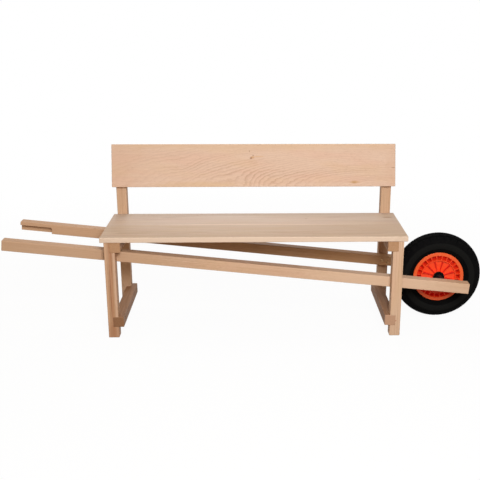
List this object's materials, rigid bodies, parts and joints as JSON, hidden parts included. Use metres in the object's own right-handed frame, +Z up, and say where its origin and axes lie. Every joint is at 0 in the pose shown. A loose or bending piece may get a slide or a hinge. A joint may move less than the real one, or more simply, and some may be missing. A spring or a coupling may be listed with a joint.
{
  "type": "wheelbarrow garden bench",
  "caption": "Wooden garden bench with a backrest, whose long sloping side shafts end in hand grips at one end and carry a pneumatic barrow wheel at the other.",
  "frame": {"origin": "on the floor, in the middle of the outline of the whole part seen from above", "axes": "+X from the handles towards the wheel, along the seat; +Y from the seat's front edge towards the backrest; +Z up"},
  "size_m": [2.1376, 0.4454, 0.785],
  "materials": {
    "frame_timber": "oiled, planed",
    "seat_timber": "oiled, planed",
    "backrest_timber": "oiled, planed",
    "wood_screws": "yellow zinc plated",
    "coach_screws": "yellow zinc plated, dull",
    "zinc_plate": "yellow zinc plated, dull",
    "axle_steel": "bright drawn",
    "black_plastic": "moulded, satin",
    "orange_plastic": "moulded, satin gloss",
    "tyre": "moulded rubber",
    "tube_rubber": "dull",
    "valve_rubber": "dull"
  },
  "bodies": {
    "bench": {"front_left_leg": "frame_timber", "front_right_leg": "frame_timber", "rear_left_leg": "frame_timber", "rear_right_leg": "frame_timber", "left_seat_bearer": "frame_timber", "right_seat_bearer": "frame_timber", "left_stretcher": "frame_timber", "right_stretcher": "frame_timber", "seat_cleat": "frame_timber", "front_shaft": "frame_timber", "rear_shaft": "frame_timber", "seat_board_front": "seat_timber", "seat_board_rear": "seat_timber", "backrest_board": "backrest_timber", "seat_screws": "wood_screws", "cleat_screws": "wood_screws", "backrest_screws": "wood_screws", "joint_screws": "wood_screws", "shaft_coach_screws": "coach_screws", "shaft_washers": "zinc_plate", "axle": "axle_steel", "front_axle_spacer": "black_plastic", "rear_axle_spacer": "black_plastic"},
    "wheel": {"front_hub_bush": "black_plastic", "rear_hub_bush": "black_plastic", "wheel_rim": "orange_plastic", "tyre": "tyre", "inner_tube": "tube_rubber", "valve_stem": "valve_rubber", "valve_cap": "black_plastic"}
  },
  "joints": [
    {"name": "wheel_spin", "type": "hinge", "parent": "bench", "child": "wheel", "pos_m": [0.86885, 0.00126, 0.211], "axis": [0, 1, 0], "continuous": true}
  ]
}
